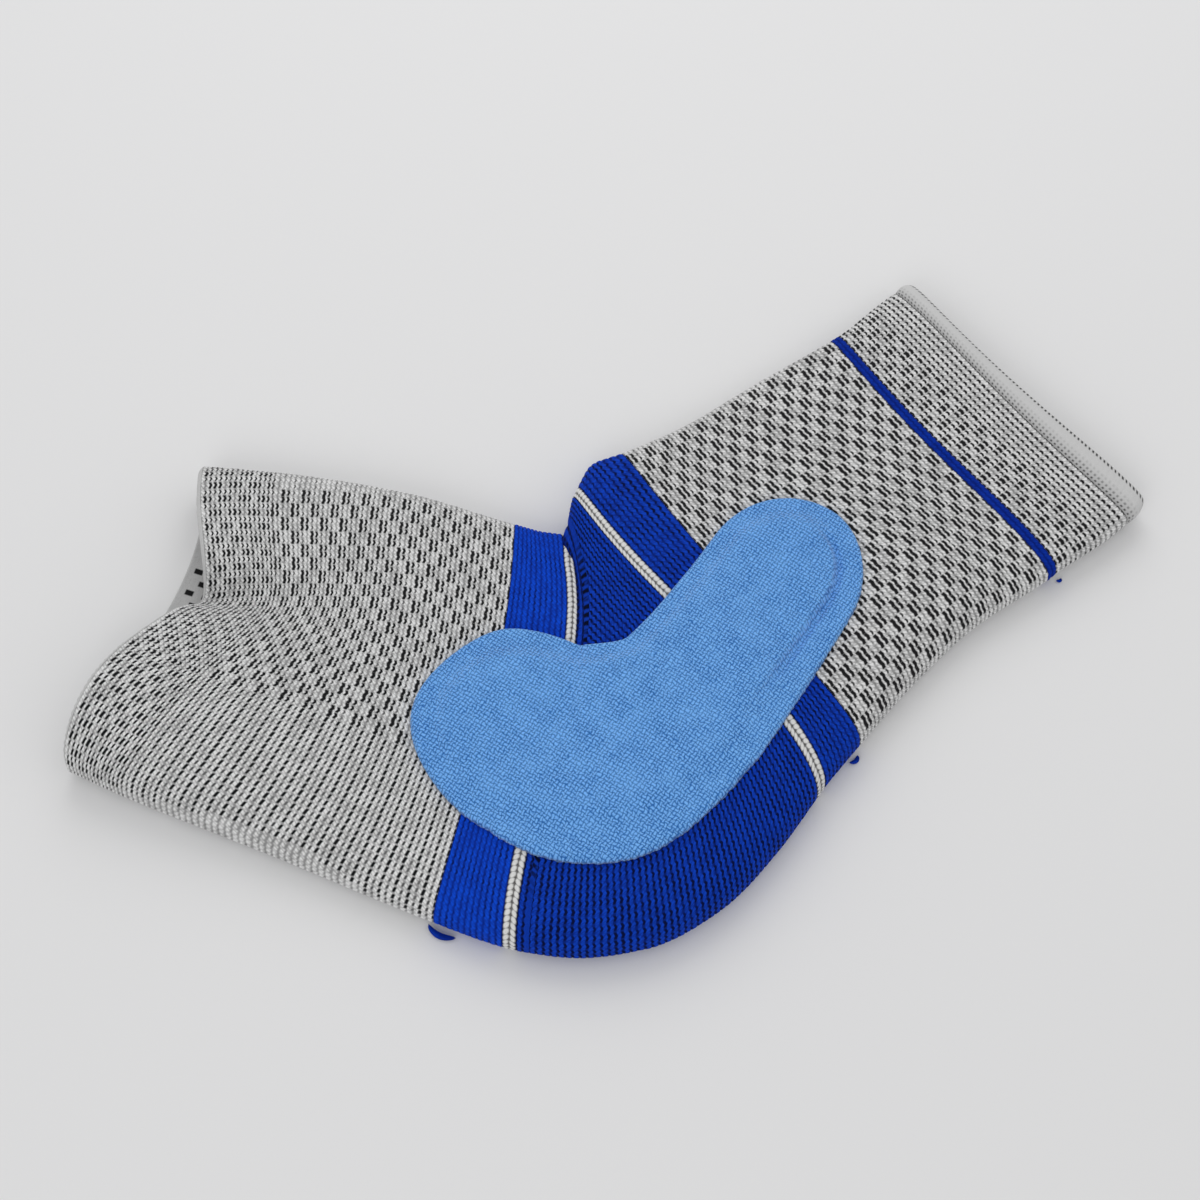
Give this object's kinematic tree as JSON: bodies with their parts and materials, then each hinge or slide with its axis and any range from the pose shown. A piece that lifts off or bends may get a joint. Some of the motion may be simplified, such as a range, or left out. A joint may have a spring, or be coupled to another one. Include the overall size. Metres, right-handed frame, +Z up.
{
  "type": "ankle support",
  "caption": "Knitted compression ankle sleeve lying on its side, open at toe and leg, with blue heel bands, a rolled leg hem and a plush-covered boomerang cushion over the ankle.",
  "frame": {"origin": "middle of the plan, on the surface that the lower layer lies on", "axes": "+Z up from that surface, +X from the toe opening towards the leg opening, +Y from the heel towards the instep"},
  "size_m": [0.2992, 0.2138, 0.0222],
  "materials": {
    "grey_knit": "pale grey elastic knit with black ground yarn showing through",
    "blue_knit": "royal-blue elastic knit",
    "ring_knit": "pale grey yarn ring",
    "welt_knit": "smooth grey rolled hem",
    "plush_cover": "light-blue looped plush"
  },
  "bodies": {
    "root": {"foot_cuff": "grey_knit", "foot_sleeve": "grey_knit", "foot_band": "blue_knit", "foot_ring": "ring_knit", "heel": "blue_knit", "leg_ring": "ring_knit", "leg_band": "blue_knit", "leg_sleeve": "grey_knit", "leg_stripe": "blue_knit", "leg_cuff": "grey_knit", "leg_welt": "welt_knit", "ankle_pad": "plush_cover"}
  },
  "joints": []
}
